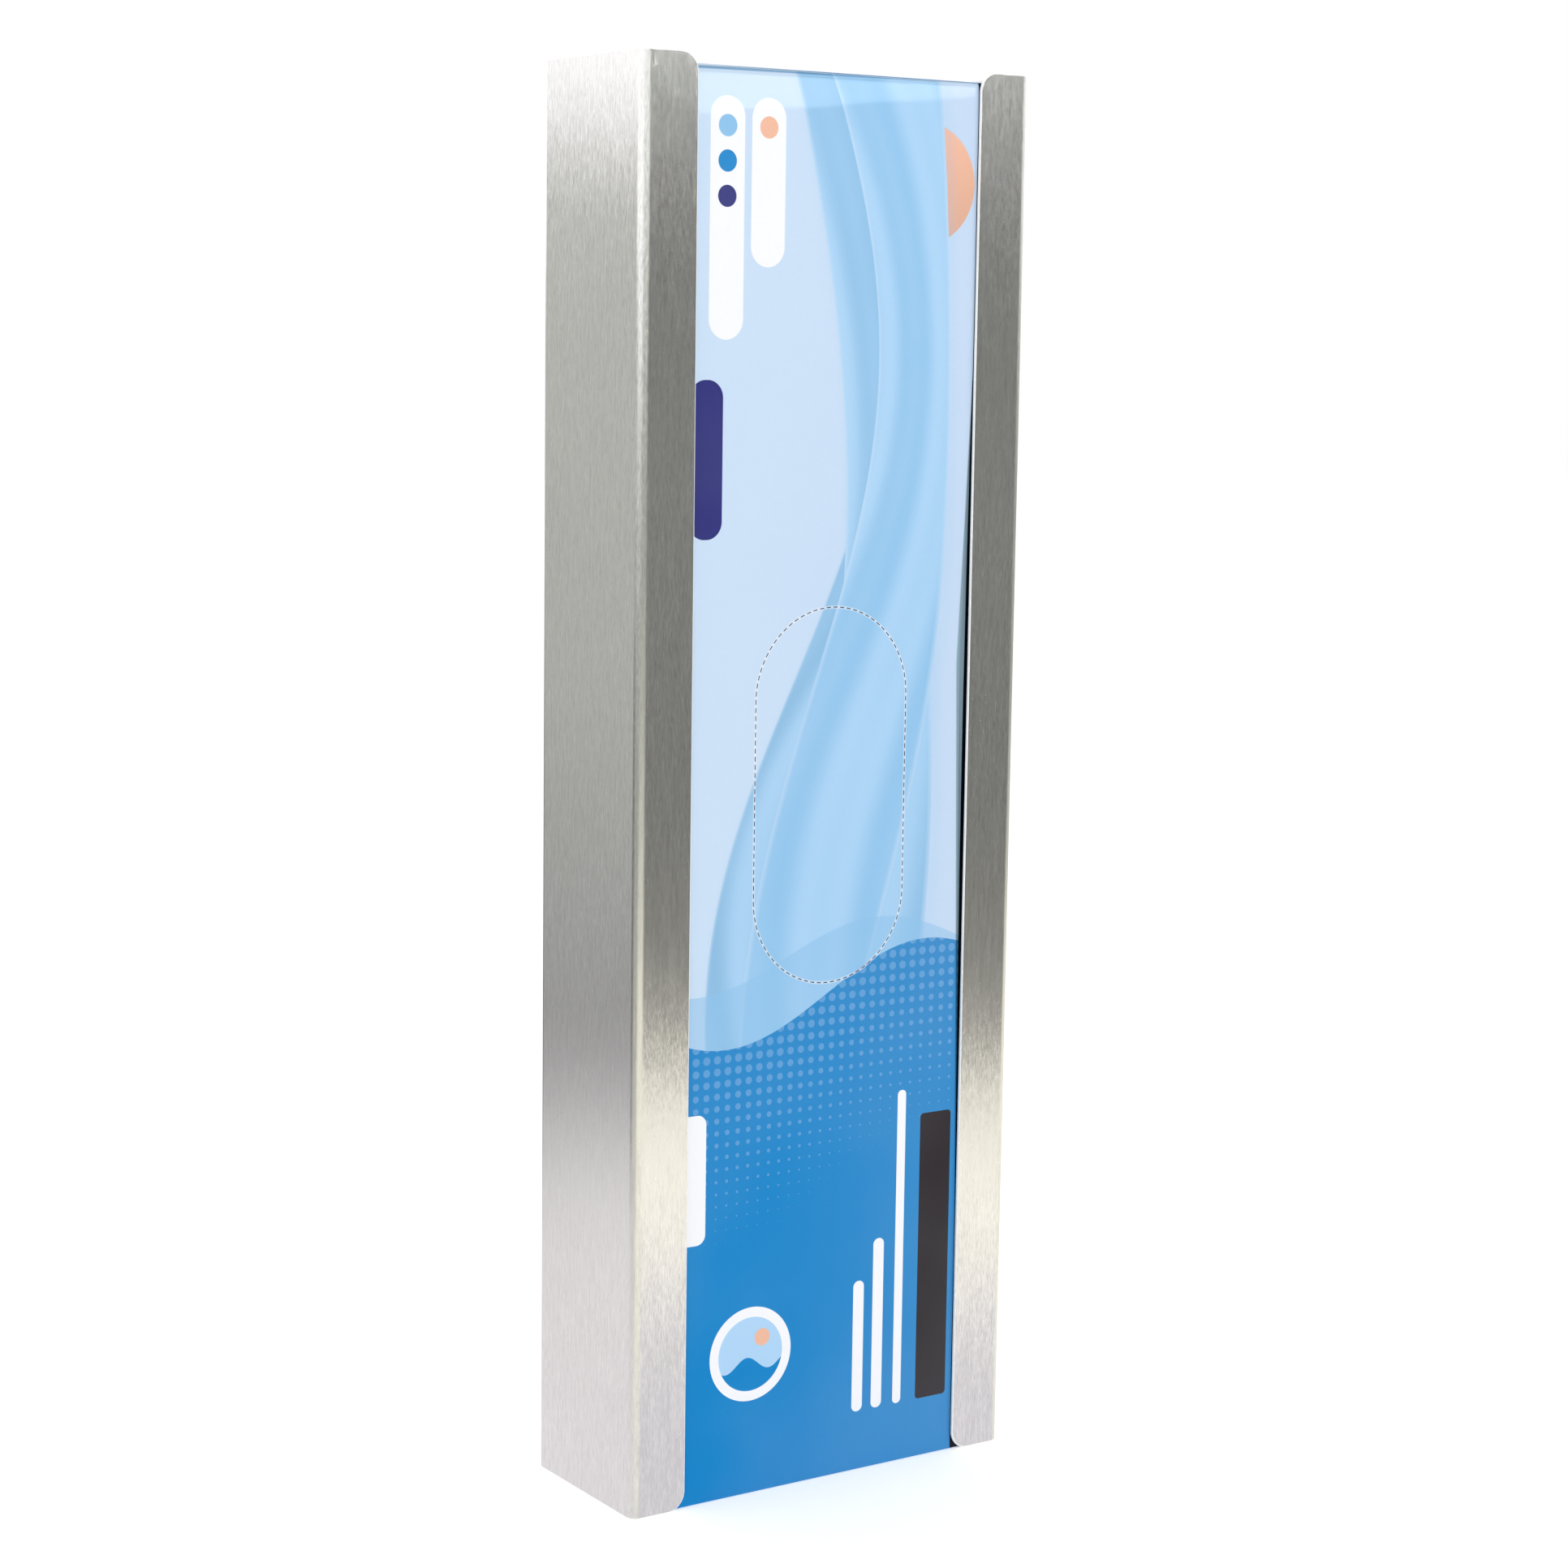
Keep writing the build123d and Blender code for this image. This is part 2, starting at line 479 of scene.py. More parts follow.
class Nodes:
    """Adds nodes to one tree. A value given for an input is either a constant or a socket to link."""

    def __init__(self, tree):
        self.tree = tree

    def feed(self, socket, value):
        if isinstance(value, bpy.types.NodeSocket):
            self.tree.links.new(value, socket)
        else:
            socket.default_value = value

    def fill(self, node, values):
        for key, value in values.items():
            self.feed(node.inputs[key], value)

    def add(self, kind, inputs=None, **choices):
        node = self.tree.nodes.new(kind)
        for name, value in choices.items():
            setattr(node, name, value)
        self.fill(node, inputs or {})
        return node

    def math(self, operation, first, second=0.0, clamp=False):
        inputs = {0: first, 1: second}
        return self.add("ShaderNodeMath", inputs, operation=operation, use_clamp=clamp).outputs[0]

    def plus(self, first, second, clamp=False):
        return self.math("ADD", first, second, clamp)

    def minus(self, first, second, clamp=False):
        return self.math("SUBTRACT", first, second, clamp)

    def times(self, first, second):
        return self.math("MULTIPLY", first, second)

    def vector(self, operation, first, second=(0, 0, 0)):
        node = self.add("ShaderNodeVectorMath", {0: first, 1: second}, operation=operation)
        single = operation in ("LENGTH", "DISTANCE", "DOT_PRODUCT")
        return node.outputs["Value" if single else "Vector"]

    def scaled(self, vector, factor):
        node = self.add("ShaderNodeVectorMath", {0: vector, "Scale": factor}, operation="SCALE")
        return node.outputs["Vector"]

    def grey(self, value):
        """The same value as red, green and blue."""
        return self.add("ShaderNodeCombineColor", {0: value, 1: value, 2: value}).outputs[0]

    def spread(self, value, start, end, low=0.0, high=1.0, smooth=True):
        """The value's way from start to end, as low to high, held at both ends."""
        kind = "SMOOTHSTEP" if smooth else "LINEAR"
        inputs = {0: value, 1: start, 2: end, 3: low, 4: high}
        return self.add("ShaderNodeMapRange", inputs, interpolation_type=kind).outputs[0]

    def vary(self, noise, low=0.0, high=1.0, smooth=True):
        """A noise value, which stays mostly between 0.3 and 0.7, as low to high."""
        return self.spread(noise, 0.3, 0.7, low, high, smooth)

    def mix(self, factor, first, second, blend="MIX"):
        inputs = {0: factor, 6: rgba(first), 7: rgba(second)}
        node = self.add("ShaderNodeMix", inputs, data_type="RGBA", blend_type=blend)
        return node.outputs[2]

    def ramp(self, value, stops):
        """A colour ramp from a list of places and colours."""
        node = self.add("ShaderNodeValToRGB", {0: value})
        elements = node.color_ramp.elements
        elements[0].position, elements[1].position = stops[0][0], stops[-1][0]
        elements[0].color, elements[1].color = rgba(stops[0][1]), rgba(stops[-1][1])
        for place, shade in stops[1:-1]:
            elements.new(place).color = rgba(shade)
        return node.outputs[0]

    def noise(self, vector, scale, detail=2.0, roughness=0.5):
        inputs = {"Vector": vector, "Scale": scale, "Detail": detail, "Roughness": roughness}
        return self.add("ShaderNodeTexNoise", inputs).outputs[0]


def rgba(value):
    """Adds the fourth number to a colour, and leaves a socket alone."""
    if isinstance(value, bpy.types.NodeSocket):
        return value
    if isinstance(value, (int, float)):
        return (value, value, value, 1.0)
    return (value[0], value[1], value[2], 1.0)


def new_group(name, inputs, outputs):
    """An empty shader node group and its sockets. An input's kind follows its default value."""
    tree = bpy.data.node_groups.new(name, "ShaderNodeTree")
    for label, default in inputs.items():
        kind = "Float" if isinstance(default, float) else "Vector"
        socket = tree.interface.new_socket(label, in_out="INPUT", socket_type="NodeSocket" + kind)
        socket.default_value = default
    for label in outputs:
        tree.interface.new_socket(label, in_out="OUTPUT", socket_type="NodeSocketFloat")
    start = tree.nodes.new("NodeGroupInput")
    end = tree.nodes.new("NodeGroupOutput")
    return tree, Nodes(tree), start.outputs, end.inputs


def new_material(name):
    """An empty material, with its Principled shader joined to the output."""
    material = bpy.data.materials.new(name)
    material.use_nodes = True
    material.node_tree.nodes.clear()
    nodes = Nodes(material.node_tree)
    shader = nodes.add("ShaderNodeBsdfPrincipled")
    nodes.add("ShaderNodeOutputMaterial", {"Surface": shader.outputs[0]})
    place = nodes.add("ShaderNodeTexCoord").outputs["Object"]
    return material, nodes, shader, place


# How many brush lines, flecks and scratches go to one metre along X, Y and Z
FINE_LINES = (2600, 2600, 400)
BROAD_LINES = (900, 900, 110)
FLECKS = (1000, 1000, 600)
SCRATCHES = (500, 500, 40)

# How far a brush line leans up or down, as a share of the face's normal
LINE_LEAN = 0.015


def streak_group():
    """Fine marks drawn out along one axis, as a value round a half. Steel and board share the one group."""
    name = "drawn_out_marks"
    if name in bpy.data.node_groups:
        return bpy.data.node_groups[name]
    inputs = {"Vector": (0, 0, 0), "Squeeze": (1, 1, 1), "Detail": 3.0}
    tree, nodes, given, result = new_group(name, inputs, ["Marks"])
    stretched = nodes.vector("MULTIPLY", given["Vector"], given["Squeeze"])
    nodes.feed(result["Marks"], nodes.noise(stretched, 1.0, given["Detail"], 0.6))
    return tree


def speck_group():
    """Scattered small specks, as a mask: cells with a random share of them filled."""
    inputs = {"Vector": (0, 0, 0), "Squeeze": (1, 1, 1), "Size": 0.2, "Share": 0.1}
    tree, nodes, given, result = new_group("scattered_specks", inputs, ["Mask"])
    stretched = nodes.vector("MULTIPLY", given["Vector"], given["Squeeze"])
    cells = nodes.add("ShaderNodeTexVoronoi", {"Vector": stretched, "Scale": 1.0})
    inside = nodes.math("LESS_THAN", cells.outputs["Distance"], given["Size"])
    chance = nodes.add("ShaderNodeSeparateColor", {0: cells.outputs["Color"]}).outputs[0]
    chosen = nodes.math("LESS_THAN", chance, given["Share"])
    nodes.feed(result["Mask"], nodes.times(inside, chosen))
    return tree


def place_group(nodes, tree, inputs):
    return nodes.add("ShaderNodeGroup", inputs, node_tree=tree).outputs


def brushed_steel(settings, streaks, specks):
    """Stainless steel brushed upwards: reflections spread sideways, with fine upright lines."""
    material, nodes, shader, place = new_material("brushed_stainless")
    fine = place_group(nodes, streaks, {"Vector": place, "Squeeze": FINE_LINES})["Marks"]
    broad = place_group(nodes, streaks, {"Vector": place, "Squeeze": BROAD_LINES})["Marks"]
    cloudy = nodes.noise(place, 14.0, 2.0)
    flecks = place_group(nodes, specks, {"Vector": place, "Squeeze": FLECKS, "Size": 0.14,
                                         "Share": 0.003})["Mask"]
    scratches = place_group(nodes, specks, {"Vector": place, "Squeeze": SCRATCHES, "Size": 0.08,
                                            "Share": 0.03})["Mask"]

    lines = nodes.plus(nodes.times(fine, 0.6), nodes.times(broad, 0.4))
    strength = 0.64 * settings.grain
    shade = nodes.vary(lines, 1 - strength * 0.5, 1 + strength * 0.35, smooth=False)
    shade = nodes.times(shade, nodes.vary(cloudy, 0.98, 1.015))
    steel = nodes.mix(1.0, settings.steel, nodes.grey(shade), "MULTIPLY")
    steel = nodes.mix(nodes.times(flecks, 0.25), steel, (0.95, 0.94, 0.9))

    rough = nodes.vary(lines, settings.roughness * 0.9, settings.roughness * 1.15, smooth=False)
    rough = nodes.plus(rough, nodes.times(scratches, 0.12))

    # Each line also leans a little up or down, so it shows most where the light changes with height
    lean = LINE_LEAN * settings.grain
    tilt = nodes.vary(fine, -lean, lean, smooth=False)
    face = nodes.add("ShaderNodeNewGeometry").outputs["Normal"]
    leaning = nodes.vector("ADD", face, nodes.add("ShaderNodeCombineXYZ", {2: tilt}).outputs[0])
    bump = nodes.add("ShaderNodeBump", {"Strength": 0.3, "Distance": 0.00006, "Height": lines,
                                        "Normal": nodes.vector("NORMALIZE", leaning)})
    tangent = nodes.add("ShaderNodeTangent", direction_type="RADIAL", axis="Z")
    nodes.fill(shader, {"Base Color": steel, "Metallic": 1.0, "Roughness": rough, "Anisotropic": 0.9,
                        "Tangent": tangent.outputs[0], "Normal": bump.outputs[0]})
    return material


def cut_edge_steel(settings, streaks):
    """The sheet's cut edges: bright and matt, with faint marks along the sheet."""
    material, nodes, shader, place = new_material("cut_stainless")
    marks = place_group(nodes, streaks, {"Vector": place, "Squeeze": (900, 2500, 900)})["Marks"]
    dull = [value * 0.9 for value in settings.cut_steel]
    nodes.fill(shader, {"Base Color": nodes.mix(nodes.vary(marks), dull, settings.cut_steel),
                        "Metallic": 0.15, "Roughness": nodes.vary(marks, 0.4, 0.5)})
    return material


def ribbon_group():
    """One printed ribbon that sways upwards: its mask, its shading, its pale rim and a shadow beside it."""
    inputs = {"Across": 0.0, "Up": 0.0, "Centre": 0.0, "Sway": 20.0, "Length": 78.0, "Phase": 0.0,
              "Half Width": 12.0, "Folds": 3.0}
    outputs = ["Mask", "Shade", "Rim", "Shadow"]
    tree, nodes, given, result = new_group("printed_ribbon", inputs, outputs)
    way = nodes.math("DIVIDE", given["Up"], given["Length"])
    swing = nodes.math("SINE", nodes.plus(way, given["Phase"]))
    centre = nodes.plus(given["Centre"], nodes.times(swing, given["Sway"]))
    slow = nodes.math("SINE", nodes.plus(nodes.times(way, 1.7), given["Phase"]))
    swell = nodes.plus(1.0, nodes.times(slow, 0.3))
    half = nodes.times(given["Half Width"], swell)
    across = nodes.math("DIVIDE", nodes.minus(given["Across"], centre), half)
    away = nodes.math("ABSOLUTE", across)
    nodes.feed(result["Mask"], nodes.spread(away, 1.0, 0.985))
    nodes.feed(result["Rim"], nodes.spread(away, 0.9, 0.99))
    shifted = nodes.math("ABSOLUTE", nodes.minus(across, 0.08))
    nodes.feed(result["Shadow"], nodes.spread(shifted, 1.25, 0.95))

    # Folds run along the ribbon and lean from one side to the other on the way up
    lean = nodes.times(slow, 1.6)
    large = nodes.math("SINE", nodes.plus(nodes.times(across, given["Folds"]), lean))
    finer = nodes.times(across, nodes.times(given["Folds"], 2.7))
    small = nodes.math("SINE", nodes.plus(finer, nodes.times(lean, 3.0)))
    shade = nodes.plus(nodes.times(large, 0.33), nodes.times(small, 0.12))
    nodes.feed(result["Shade"], nodes.plus(shade, 0.5, clamp=True))
    return tree


# Places on the print in millimetres: its edge at the lips, the field's edge, the top fold with its painted
# shade, and the gap beside the right lip with its painted shadow
PRINT_SIDE = 48.0
FIELD_HEIGHT = 146.0
TOP_FOLD = (406.1, 406.5)
LIP_GAP = (47.8, 47.95)

# What the ink fades towards, the light that the painted shade keeps on the top fold and on the pressed-in
# strip, and the gap's painted shadow
FADED_INK = (0.9, 0.95, 1.0)
PAINTED_FOLD_SHADE = (0.34, 0.52, 0.66)
PAINTED_STRIP_SHADE = (0.56, 0.64, 0.60)
PAINTED_GAP_SHADOW = (0.006, 0.008, 0.02)


def disc(nodes, spot, centre, radius, soft=0.08):
    """Mask of a round spot, in millimetres."""
    away = nodes.vector("DISTANCE", spot, (centre[0], centre[1], 0))
    return nodes.spread(away, radius + soft, radius - soft)


def plate(nodes, spot, centre, half, corner, soft=0.08):
    """Mask of a rectangle with round corners, in millimetres."""
    away = nodes.vector("ABSOLUTE", nodes.vector("SUBTRACT", spot, (centre[0], centre[1], 0)))
    past = nodes.vector("SUBTRACT", away, (half[0] - corner, half[1] - corner, 0))
    outside = nodes.vector("LENGTH", nodes.vector("MAXIMUM", past, (0, 0, 0)))
    return nodes.spread(outside, corner + soft, corner - soft)


def flat_spot(nodes, place, across, up):
    """Two of the object's coordinates in millimetres, and both as one flat vector."""
    parts = nodes.add("ShaderNodeSeparateXYZ", {0: nodes.scaled(place, 1000.0)})
    first, second = parts.outputs[across], parts.outputs[up]
    both = nodes.add("ShaderNodeCombineXYZ", {0: first, 1: second}).outputs[0]
    return first, second, both


def coated_board_group():
    """The faint unevenness of coated board: a relief, a roughness round one, and clouds in the ink."""
    inputs = {"Vector": (0, 0, 0), "Crinkle": 0.2, "Cloud Scale": 16.0}
    tree, nodes, given, result = new_group("coated_board", inputs, ["Relief", "Roughness", "Clouds"])
    broad = nodes.noise(given["Vector"], 22.0, 3.0, 0.55)
    fine = nodes.noise(given["Vector"], 900.0, 2.0, 0.5)
    relief = nodes.plus(broad, nodes.times(fine, 0.01))
    nodes.feed(result["Relief"], nodes.times(relief, given["Crinkle"]))
    nodes.feed(result["Roughness"], nodes.vary(fine, 0.9, 1.15))
    nodes.feed(result["Clouds"], nodes.vary(nodes.noise(given["Vector"], given["Cloud Scale"], 2.0)))
    return tree


def gloss(nodes, shader, settings, surface):
    """The coated finish of printed board: a soft base under a thin clear coat, with a faint crinkle."""
    bump = nodes.add("ShaderNodeBump", {"Strength": 0.5, "Distance": 0.001, "Height": surface["Relief"]})
    rough = nodes.times(surface["Roughness"], settings.roughness)
    nodes.fill(shader, {"Roughness": rough, "Normal": bump.outputs[0], "Specular IOR Level": 0.07,
                        "Coat Weight": 0.07, "Coat Roughness": 0.12})


def print_ground(nodes, settings, across, up, spot):
    """The pale ground, a little deeper at the right, with a warm disc that the ribbons pass over."""
    deeper = [value * 0.95 for value in settings.ground[:2]] + [settings.ground[2] * 0.98]
    ink = nodes.mix(nodes.spread(across, -PRINT_SIDE, PRINT_SIDE), settings.ground, deeper)
    warm = disc(nodes, spot, (30.0, 378.0), 17.0)
    warm_shade = nodes.mix(nodes.spread(up, 360.0, 396.0), [value * 0.82 for value in settings.accent],
                           settings.accent)
    return nodes.mix(warm, ink, warm_shade)


def print_ribbons(nodes, settings, across, up, ink):
    """Three swaying ribbons, the furthest one first."""
    tree = ribbon_group()
    ribbons = (
        {"Centre": -5.0, "Sway": 27.0, "Length": 64.0, "Phase": -3.6, "Half Width": 10.0, "Folds": 2.2},
        {"Centre": 3.0, "Sway": 15.0, "Length": 96.0, "Phase": -1.0, "Half Width": 17.0, "Folds": 2.8},
        {"Centre": 6.0, "Sway": 21.0, "Length": 76.0, "Phase": -2.7, "Half Width": 18.0, "Folds": 3.6},
    )
    for number, shape in enumerate(ribbons):
        ribbon = place_group(nodes, tree, {"Across": across, "Up": up, **shape})
        fold = [value * (0.9 + 0.05 * number) for value in settings.ribbon_fold]
        shade = nodes.mix(ribbon["Shade"], fold, settings.ribbon)
        shade = nodes.mix(nodes.times(ribbon["Rim"], 0.45), shade, settings.ground)
        ink = nodes.mix(nodes.times(ribbon["Shadow"], 0.14), ink, settings.ribbon_fold)
        ink = nodes.mix(ribbon["Mask"], ink, shade)
    return ink


def over_wave(nodes, across, up, turn, shift, swing):
    """How far a place is above a long wave that swings round zero."""
    turned = nodes.plus(nodes.times(across, turn), shift)
    return nodes.minus(up, nodes.times(nodes.math("SINE", turned), swing))


def print_field(nodes, settings, across, up, spot, ink):
    """A strong blue field under a long wave, a paler wave above it, and rows of spots that fade out."""
    over = nodes.minus(over_wave(nodes, across, up, 0.045, 0.0, 13.0), FIELD_HEIGHT)
    pale = nodes.minus(over_wave(nodes, across, up, 0.05, 0.7, 9.0), FIELD_HEIGHT + 12.0)
    pale = nodes.spread(pale, 0.1, -0.1)
    ink = nodes.mix(nodes.times(pale, 0.55), ink, settings.ribbon_fold)
    field = nodes.spread(over, 0.1, -0.1)
    paler = [value + (1 - value) * 0.03 for value in settings.field]
    lit = nodes.mix(nodes.spread(across, -PRINT_SIDE, PRINT_SIDE), settings.field, paler)
    ink = nodes.mix(field, ink, lit)

    tile = nodes.vector("FRACTION", nodes.scaled(spot, 0.28))
    centred = nodes.vector("DISTANCE", tile, (0.5, 0.5, 0))
    size = nodes.spread(over, -62.0, -4.0, 0.0, 0.34, smooth=False)
    spots = nodes.times(nodes.math("LESS_THAN", centred, size), field)
    return nodes.mix(nodes.times(spots, 0.22), ink, settings.ribbon)


def print_marks(nodes, settings, across, up, spot, ink):
    """Plain tabs, bars and discs, the lowest layer first, and a wave within one disc."""
    # Middle, half sizes and corner radius of each mark in millimetres, and its ink
    marks = (
        (-37.5, 366.0, 5.6, 33.0, 5.6, settings.white),
        (-37.5, 391.0, 3.0, 3.0, 3.0, settings.ribbon_fold),
        (-37.5, 381.5, 3.0, 3.0, 3.0, settings.field),
        (-37.5, 372.0, 3.0, 3.0, 3.0, settings.navy),
        (-24.0, 376.0, 5.6, 23.0, 5.6, settings.white),
        (-24.0, 391.0, 3.0, 3.0, 3.0, settings.accent),
        (-43.5, 300.0, 5.4, 22.0, 5.0, settings.navy),
        (40.0, 62.0, 5.6, 44.0, 1.2, settings.dark),
        (27.5, 66.0, 1.5, 48.0, 1.4, settings.white),
        (20.0, 44.0, 1.9, 26.0, 1.8, settings.white),
        (13.0, 38.0, 1.9, 20.0, 1.8, settings.white),
        (-25.0, 42.0, 14.0, 14.0, 14.0, settings.white),
        (-25.0, 42.0, 11.0, 11.0, 11.0, settings.ribbon),
        (-21.0, 46.5, 2.6, 2.6, 2.6, settings.accent),
        (-48.0, 96.0, 7.0, 19.0, 3.0, settings.white),
    )
    for x, y, half_width, half_height, corner, shade in marks:
        mask = plate(nodes, spot, (x, y), (half_width, half_height), corner)
        ink = nodes.mix(mask, ink, shade)
    wave = nodes.spread(over_wave(nodes, across, up, 0.42, 0.0, 2.0), 39.1, 38.9)
    badge = disc(nodes, spot, (-25.0, 42.0), 11.0)
    return nodes.mix(nodes.times(badge, wave), ink, settings.field)


def print_painted_light_and_shade(nodes, settings, across, up, spot, ink):
    """Painted highlight along the oval, painted shade over the top fold and painted shadow beside the right
    lip.
    """
    half = (settings.oval_width / MM / 2, settings.oval_height / MM / 2)
    middle = (0.0, CARTON_MIDDLE.z / MM)
    # A pale painted highlight along the ring of slits
    inner, outer = (plate(nodes, spot, middle, (half[0] + line, half[1] + line), half[0] + line, 0.15)
                    for line in (-0.4, 0.4))
    rim = nodes.times(nodes.minus(outer, inner, clamp=True), 0.45)
    ink = nodes.mix(rim, ink, settings.white)

    # Painted shade over the top fold, where its rounding turns away from the light
    painted_fold_shade = nodes.mix(1.0, ink, PAINTED_FOLD_SHADE, "MULTIPLY")
    fold_top = nodes.minus(up, nodes.times(across, 0.009))
    ink = nodes.mix(nodes.spread(fold_top, *TOP_FOLD), ink, painted_fold_shade)
    # A painted shadow: near-black ink in the narrow gap beside the right lip
    ink = nodes.mix(nodes.spread(across, *LIP_GAP), ink, PAINTED_GAP_SHADOW)

    # The strip that is pressed in lies in the right lip's shade, which is also painted into its ink
    widest = settings.crease_height / MM
    below = nodes.math("MAXIMUM", nodes.minus(widest, up), 0.0)
    above = nodes.math("MAXIMUM", nodes.minus(up, widest), 0.0)
    run = nodes.plus(nodes.times(below, CREASE_RUN_BELOW), nodes.times(above, CREASE_RUN_ABOVE))
    past = nodes.minus(nodes.minus(across, run), settings.crease / MM)
    shaded = nodes.mix(1.0, ink, PAINTED_STRIP_SHADE, "MULTIPLY")
    return nodes.mix(nodes.spread(past, 0.3, 0.6), ink, shaded)


def printed_front(settings, board_surface):
    """The print of all four walls: the whole design on the front, only ground and field elsewhere."""
    material, nodes, shader, place = new_material("printed_carton")
    across, up, spot = flat_spot(nodes, place, "X", "Z")
    surface = place_group(nodes, board_surface, {"Vector": place, "Crinkle": 0.2, "Cloud Scale": 16.0})
    ink = print_ground(nodes, settings, across, up, spot)
    ink = print_ribbons(nodes, settings, across, up, ink)
    ink = print_field(nodes, settings, across, up, spot, ink)
    ink = print_marks(nodes, settings, across, up, spot, ink)
    ink = nodes.mix(nodes.times(surface["Clouds"], 0.03), ink, FADED_INK)
    ink = print_painted_light_and_shade(nodes, settings, across, up, spot, ink)

    depth = nodes.add("ShaderNodeSeparateXYZ", {0: place}).outputs["Y"]
    behind = nodes.spread(depth, CARTON_LOW.y + 1.5 * MM, CARTON_LOW.y + 1.6 * MM)
    under = nodes.spread(up, FIELD_HEIGHT + 0.1, FIELD_HEIGHT - 0.1)
    plain = nodes.mix(under, settings.ground, settings.field)
    nodes.feed(shader.inputs["Base Color"], nodes.mix(behind, ink, plain))
    gloss(nodes, shader, settings, surface)
    return material


def printed_end(settings, board_surface):
    """The closing flaps' print: a strong blue end with a pale band and one plain white panel."""
    material, nodes, shader, place = new_material("printed_carton_end")
    across, along, spot = flat_spot(nodes, place, "X", "Y")
    surface = place_group(nodes, board_surface, {"Vector": place, "Crinkle": 0.15, "Cloud Scale": 30.0})
    band = nodes.spread(over_wave(nodes, across, along, 0.06, 0.0, 5.0), 4.9, 5.1)
    badge = (-38.0, -5.0)
    ink = nodes.mix(band, settings.field, settings.ground)
    ink = nodes.mix(plate(nodes, spot, (26.0, -6.0), (24.0, 9.0), 2.5), ink, settings.white)
    ink = nodes.mix(disc(nodes, spot, badge, 8.0), ink, settings.white)
    ink = nodes.mix(disc(nodes, spot, badge, 5.6), ink, settings.ribbon_fold)
    ink = nodes.mix(nodes.times(surface["Clouds"], 0.06), ink, FADED_INK)
    nodes.feed(shader.inputs["Base Color"], ink)
    gloss(nodes, shader, settings, surface)
    return material


def bare_board(name, shade_of_edge, streaks):
    """Cut board: fibre with faint layers."""
    material, nodes, shader, place = new_material(name)
    layers = place_group(nodes, streaks, {"Vector": place, "Squeeze": (300, 300, 9000)})["Marks"]
    fibre = nodes.noise(place, 3000.0, 3.0)
    shade = nodes.plus(nodes.times(layers, 0.6), nodes.times(fibre, 0.4))
    ink = nodes.mix(nodes.vary(shade), [value * 0.8 for value in shade_of_edge], shade_of_edge)
    bump = nodes.add("ShaderNodeBump", {"Strength": 0.3, "Distance": 0.00005, "Height": shade})
    nodes.fill(shader, {"Base Color": ink, "Roughness": nodes.vary(shade, 0.75, 0.95),
                        "Normal": bump.outputs[0]})
    return material


# Stage

def aim(piece, place, target):
    """Puts an object at a place and turns it so that it looks at the target."""
    piece.location = place
    piece.rotation_euler = (Vector(target) - Vector(place)).to_track_quat("-Z", "Y").to_euler()


def area_light(name, power, size, place, target):
    light = bpy.data.lights.new(name, "AREA")
    light.energy = power
    light.size = size
    lamp = bpy.data.objects.new(name, light)
    bpy.context.scene.collection.objects.link(lamp)
    aim(lamp, place, target)
    lamp.visible_glossy = False
    lamp.visible_camera = False


# Brightness that the steel sees at each elevation in degrees: behind the object at the left, at its left,
# from the camera's side, and from the front at the right
LIGHT_BEHIND = (
    (-26.0, 1.06, 1.04, 1.09),
    (-17.0, 1.12, 1.08, 1.11),
    (-15.2, 1.06, 1.03, 1.05),
    (-12.4, 0.44, 0.44, 0.45),
    (-10.0, 0.54, 0.55, 0.54),
    (-5.0, 0.64, 0.65, 0.62),
    (2.8, 0.67, 0.68, 0.65),
    (3.9, 1.38, 1.37, 1.38),
    (4.7, 1.60, 1.58, 1.62),
)
LIGHT_LEFT = (
    (-26.0, 1.18, 1.16, 1.22),
    (-17.0, 1.02, 1.00, 0.98),
    (-13.0, 0.68, 0.68, 0.61),
    (-8.5, 0.44, 0.45, 0.42),
    (-4.0, 0.62, 0.63, 0.60),
    (-1.0, 1.02, 1.03, 1.02),
    (2.5, 1.60, 1.60, 1.61),
)
LIGHT_CAMERA = (
    (-26.0, 0.96, 0.96, 1.02),
    (-17.0, 1.26, 1.24, 1.10),
    (-13.0, 1.34, 1.30, 1.10),
    (-8.5, 0.75, 0.75, 0.67),
    (-5.0, 0.54, 0.56, 0.50),
    (-1.0, 0.56, 0.58, 0.53),
    (4.5, 1.32, 1.35, 1.32),
)
LIGHT_FRONT = (
    (-26.0, 0.98, 0.96, 1.04),
    (-17.6, 0.98, 0.95, 1.02),
    (-16.2, 1.44, 1.40, 1.28),
    (-13.5, 1.58, 1.52, 1.35),
    (-12.2, 0.29, 0.29, 0.27),
    (-8.0, 0.25, 0.255, 0.245),
    (-2.5, 0.31, 0.315, 0.305),
    (1.0, 0.235, 0.24, 0.23),
    (5.0, 0.47, 0.48, 0.46),
)

# Where one of the four gives way to the next, as the cosine of the angle from the front at the right
FRONT_WAY = (0.556, -0.831, 0)
TO_LEFT = (-0.86, -0.6)
TO_CAMERA = (-0.15, 0.3)
TO_FRONT = (0.82, 0.975)

# The left light reaches further back above this height, as the sine of the elevation plus a half
LEFT_HIGH = (0.505, 0.53)
LEFT_HIGH_WAY = (-0.975, -0.925)

# A narrow dark panel stands between the light behind and the light at the left
PANEL_WAY = (-0.97, -0.92)
PANEL_TOP = (0.45, 0.38)
PANEL_FOOT = (0.22, 0.27)
PANEL_SHADE = 0.6

# The ceiling fades in between two elevations, and a small softbox hangs towards the front at the right
CEILING_FROM = 22.0
CEILING_FULL = 32.0
CEILING_LIGHT = 2.2
SOFTBOX_ELEVATION = 14.0
SOFTBOX_WAY = (0.56, -0.828)
SOFTBOX_RIM = 7.5
SOFTBOX_CORE = 5.5
SOFTBOX_LIGHT = 36.0


